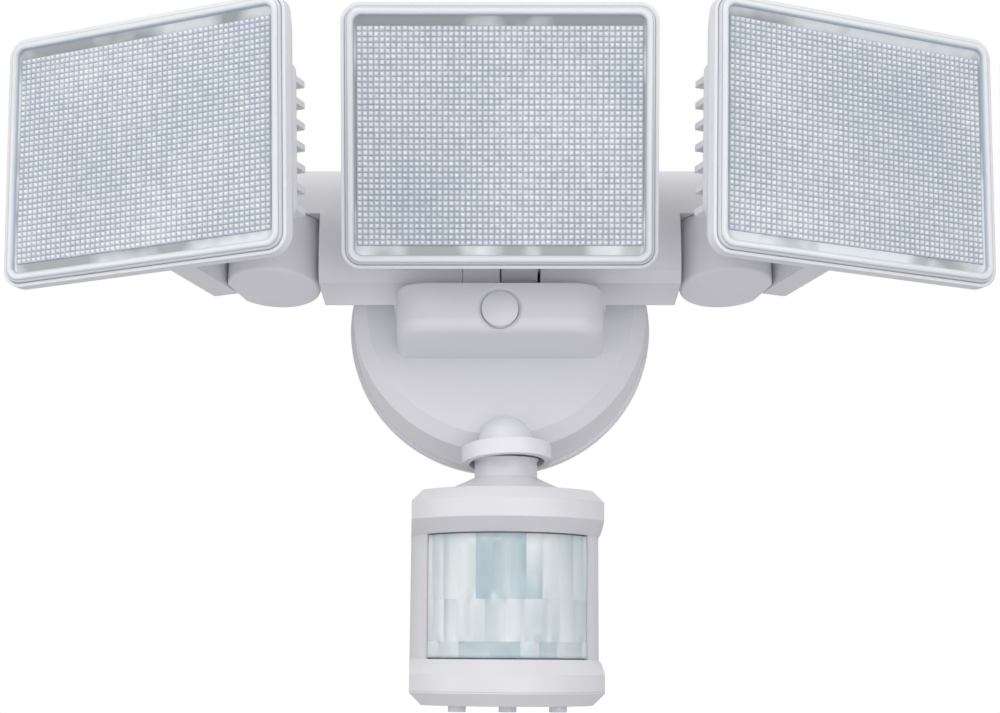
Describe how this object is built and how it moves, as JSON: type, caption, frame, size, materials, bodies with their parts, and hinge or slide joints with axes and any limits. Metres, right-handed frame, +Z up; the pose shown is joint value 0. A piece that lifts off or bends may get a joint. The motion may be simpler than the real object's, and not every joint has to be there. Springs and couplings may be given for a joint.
{
  "type": "motion sensor security light",
  "caption": "Wall light with pivoting rectangular prismatic-glass flood heads on a curved arm, round canopy, and a hanging swivel motion sensor with trim knobs.",
  "frame": {"origin": "centre of the round canopy on the face of the wall", "axes": "+X runs along the arm to the right as seen from the front, +Y goes into the wall, +Z is up"},
  "size_m": [0.363, 0.1375, 0.2421],
  "materials": {
    "white_metal": "satin white paint",
    "white_plastic": "satin white",
    "clear_glass": "prismatic, clear",
    "seal_rubber": "matte",
    "foam": "matte foam",
    "reflector_white": "gloss",
    "board_white": "white solder mask",
    "led_yellow": "phosphor yellow",
    "board": "green solder mask",
    "dark_plastic": "matte",
    "lens_plastic": "milky, moulded segments",
    "steel": "zinc plated"
  },
  "bodies": {
    "base": {"wall_gasket": "foam", "canopy": "white_metal", "wiring_box": "white_metal", "arm_housing": "white_metal", "arm_cover": "white_metal", "center_hinge_block": "white_metal", "bolt_plug": "white_plastic", "swivel_ring": "white_plastic", "mounting_crossbar": "steel", "mounting_bolt": "steel", "center_tilt_bolt": "steel", "center_tilt_nut": "steel", "arm_screws": "steel", "driver_board": "board", "driver_components": "dark_plastic"},
    "left_knuckle": {"left_knuckle": "white_metal", "left_pan_washer": "steel", "left_pan_nut": "steel", "left_tilt_bolt": "steel", "left_tilt_nut": "steel"},
    "right_knuckle": {"right_knuckle": "white_metal", "right_pan_washer": "steel", "right_pan_nut": "steel", "right_tilt_bolt": "steel", "right_tilt_nut": "steel"},
    "left_head": {"left_head_housing": "white_metal", "left_lens": "clear_glass", "left_lens_seal": "seal_rubber", "left_reflector": "reflector_white", "left_led_board": "board_white", "left_leds": "led_yellow", "left_board_screws": "steel"},
    "center_head": {"center_head_housing": "white_metal", "center_lens": "clear_glass", "center_lens_seal": "seal_rubber", "center_reflector": "reflector_white", "center_led_board": "board_white", "center_leds": "led_yellow", "center_board_screws": "steel"},
    "right_head": {"right_head_housing": "white_metal", "right_lens": "clear_glass", "right_lens_seal": "seal_rubber", "right_reflector": "reflector_white", "right_led_board": "board_white", "right_leds": "led_yellow", "right_board_screws": "steel"},
    "swivel": {"swivel_seat": "white_plastic"},
    "sensor": {"sensor_neck": "white_plastic", "sensor_housing": "white_plastic", "sensor_base": "white_plastic", "sensor_neck_nut": "white_plastic", "sensor_lens": "lens_plastic", "sensor_control_board": "board", "sensor_detector_board": "board", "sensor_trimmers": "dark_plastic", "motion_detector": "steel", "sensor_screws": "steel"},
    "time_knob": {"time_knob": "white_plastic"},
    "brightness_knob": {"brightness_knob": "white_plastic"},
    "range_knob": {"range_knob": "white_plastic"}
  },
  "joints": [
    {"name": "left_head_pan", "type": "hinge", "parent": "base", "child": "left_knuckle", "pos_m": [-0.087, -0.048, 0.012], "axis": [0, 0, -1], "range_deg": [-2, 40]},
    {"name": "left_head_tilt", "type": "hinge", "parent": "left_knuckle", "child": "left_head", "pos_m": [-0.087, -0.048, 0.012], "axis": [0.9397, -0.342, 0], "range_deg": [-28, 40]},
    {"name": "right_head_pan", "type": "hinge", "parent": "base", "child": "right_knuckle", "pos_m": [0.087, -0.048, 0.012], "axis": [0, 0, 1], "range_deg": [-2, 40]},
    {"name": "right_head_tilt", "type": "hinge", "parent": "right_knuckle", "child": "right_head", "pos_m": [0.087, -0.048, 0.012], "axis": [0.9397, 0.342, 0], "range_deg": [-28, 40]},
    {"name": "center_head_tilt", "type": "hinge", "parent": "base", "child": "center_head", "pos_m": [0, -0.049, 0.0095], "axis": [1, 0, 0], "range_deg": [-26, 25]},
    {"name": "sensor_pan", "type": "hinge", "parent": "base", "child": "swivel", "pos_m": [0.00229, -0.038, -0.05695], "axis": [-0.0401, 0, 0.9992], "range_deg": [-60, 60]},
    {"name": "sensor_tilt", "type": "hinge", "parent": "swivel", "child": "sensor", "pos_m": [0.00229, -0.038, -0.05695], "axis": [0.9986, 0.0523, 0], "range_deg": [-18, 5]},
    {"name": "time_knob_turn", "type": "hinge", "parent": "sensor", "child": "time_knob", "pos_m": [-0.01547, -0.04695, -0.15587], "axis": [-0.0064, 0.1217, -0.9925], "range_deg": [0, 270]},
    {"name": "brightness_knob_turn", "type": "hinge", "parent": "sensor", "child": "brightness_knob", "pos_m": [0.00271, -0.04599, -0.15587], "axis": [-0.0064, 0.1217, -0.9925], "range_deg": [0, 270]},
    {"name": "range_knob_turn", "type": "hinge", "parent": "sensor", "child": "range_knob", "pos_m": [0.02088, -0.04504, -0.15587], "axis": [-0.0064, 0.1217, -0.9925], "range_deg": [0, 270]}
  ]
}
